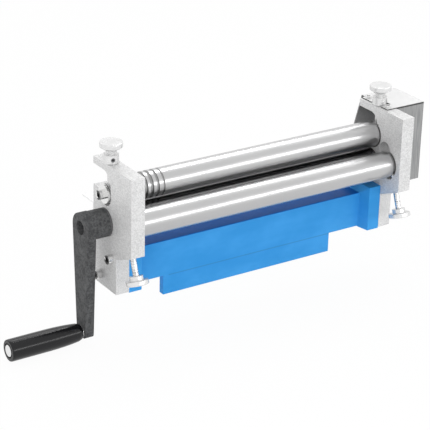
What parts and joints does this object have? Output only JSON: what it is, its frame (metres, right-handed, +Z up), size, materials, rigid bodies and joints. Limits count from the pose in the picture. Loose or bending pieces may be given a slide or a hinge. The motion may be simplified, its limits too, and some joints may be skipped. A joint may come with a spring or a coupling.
{
  "type": "slip roll machine",
  "caption": "Vise-held bench slip roll with geared pinch rolls, an adjustable bending roll, wire grooves, thumb screws, a gear cover and a hand crank.",
  "frame": {"origin": "on the front face of the tongue that the vise grips, halfway up it and halfway between the end plates", "axes": "+X along the rolls towards the gear cover, the crank at -X; the bending roll faces -Y; +Z up"},
  "size_m": [0.5048, 0.1107, 0.2152],
  "materials": {
    "plate_cast": "machined and blasted, light grey",
    "beam_paint": "glossy blue paint over a casting",
    "sheet_steel": "bright sheet with faint vertical grain",
    "roll_steel": "ground and polished",
    "crank_cast": "rough dark casting",
    "grip_plastic": "glossy black",
    "bearing_bronze": "turned, dull",
    "dark_steel": "oiled, dark",
    "turned_steel": "bright turned",
    "fastener_steel": "zinc plated"
  },
  "bodies": {
    "frame": {"left_end_plate": "plate_cast", "right_end_plate": "plate_cast", "base_beam": "beam_paint", "left_beam_bolts": "fastener_steel", "right_beam_bolts": "fastener_steel", "feed_shelf": "sheet_steel", "shelf_screws": "fastener_steel", "gear_cover": "sheet_steel", "cover_screws": "fastener_steel", "left_drive_bush": "bearing_bronze", "right_drive_bush": "bearing_bronze"},
    "drive": {"drive_roll": "roll_steel", "drive_gear": "dark_steel", "drive_gear_key": "dark_steel", "drive_gear_washer": "fastener_steel", "drive_gear_bolt": "fastener_steel", "crank_arm": "crank_cast", "crank_washer": "fastener_steel", "crank_set_screw": "dark_steel", "grip_pin": "fastener_steel"},
    "grip": {"crank_grip": "grip_plastic"},
    "upper_carriage": {"left_upper_bush": "bearing_bronze", "right_upper_bush": "bearing_bronze"},
    "upper_roll_set": {"upper_roll": "roll_steel", "upper_gear": "dark_steel", "upper_gear_key": "dark_steel", "upper_gear_washer": "fastener_steel", "upper_gear_bolt": "fastener_steel", "upper_end_washer": "fastener_steel", "upper_end_bolt": "fastener_steel"},
    "left_thumb": {"left_thumb_screw": "turned_steel", "left_stop_collar": "turned_steel", "left_collar_set_screw": "dark_steel"},
    "right_thumb": {"right_thumb_screw": "turned_steel", "right_stop_collar": "turned_steel", "right_collar_set_screw": "dark_steel"},
    "lower_carriage": {"left_bending_block": "bearing_bronze", "right_bending_block": "bearing_bronze"},
    "bending_roll_set": {"bending_roll": "roll_steel"},
    "left_adjuster": {"left_adjusting_screw": "turned_steel"},
    "right_adjuster": {"right_adjusting_screw": "turned_steel"}
  },
  "joints": [
    {"name": "crank_turn", "type": "hinge", "parent": "frame", "child": "drive", "pos_m": [0, 0.0068, 0.0852], "axis": [1, 0, 0], "continuous": true},
    {"name": "grip_spin", "type": "hinge", "parent": "drive", "child": "grip", "pos_m": [-0.246, 0.0068, -0.032], "axis": [1, 0, 0], "continuous": true},
    {"name": "upper_height", "type": "slide", "parent": "frame", "child": "upper_carriage", "axis": [0, 0, 1], "range_m": [-0.0003, 0.0015]},
    {"name": "upper_roll_turn", "type": "hinge", "parent": "upper_carriage", "child": "upper_roll_set", "pos_m": [0, 0.0068, 0.1164], "axis": [1, 0, 0], "continuous": true},
    {"name": "left_thumb_turn", "type": "hinge", "parent": "upper_carriage", "child": "left_thumb", "pos_m": [-0.17005, 0.0068, 0.16], "axis": [0, 0, 1], "range_deg": [-90, 436]},
    {"name": "right_thumb_turn", "type": "hinge", "parent": "upper_carriage", "child": "right_thumb", "pos_m": [0.16875, 0.0068, 0.16], "axis": [0, 0, 1], "range_deg": [-90, 436]},
    {"name": "bending_height", "type": "slide", "parent": "frame", "child": "lower_carriage", "axis": [0, 0.342, 0.9397], "range_m": [-0.004, 0.01]},
    {"name": "bending_roll_turn", "type": "hinge", "parent": "lower_carriage", "child": "bending_roll_set", "pos_m": [0, -0.0226, 0.0901], "axis": [1, 0, 0], "continuous": true},
    {"name": "left_adjust_turn", "type": "hinge", "parent": "lower_carriage", "child": "left_adjuster", "pos_m": [-0.1683, -0.0226, 0.0901], "axis": [0, 0.342, 0.9397], "range_deg": [-1450, 3620]},
    {"name": "right_adjust_turn", "type": "hinge", "parent": "lower_carriage", "child": "right_adjuster", "pos_m": [0.167, -0.0226, 0.0901], "axis": [0, 0.342, 0.9397], "range_deg": [-1450, 3620]}
  ],
  "couplings": [
    {"joint": "upper_roll_turn", "follows": "crank_turn", "ratio": -1},
    {"joint": "left_thumb_turn", "follows": "upper_height", "rad_per_m": 5026.5},
    {"joint": "right_thumb_turn", "follows": "upper_height", "rad_per_m": 5026.5},
    {"joint": "left_adjust_turn", "follows": "bending_height", "rad_per_m": 6283.2},
    {"joint": "right_adjust_turn", "follows": "bending_height", "rad_per_m": 6283.2}
  ]
}
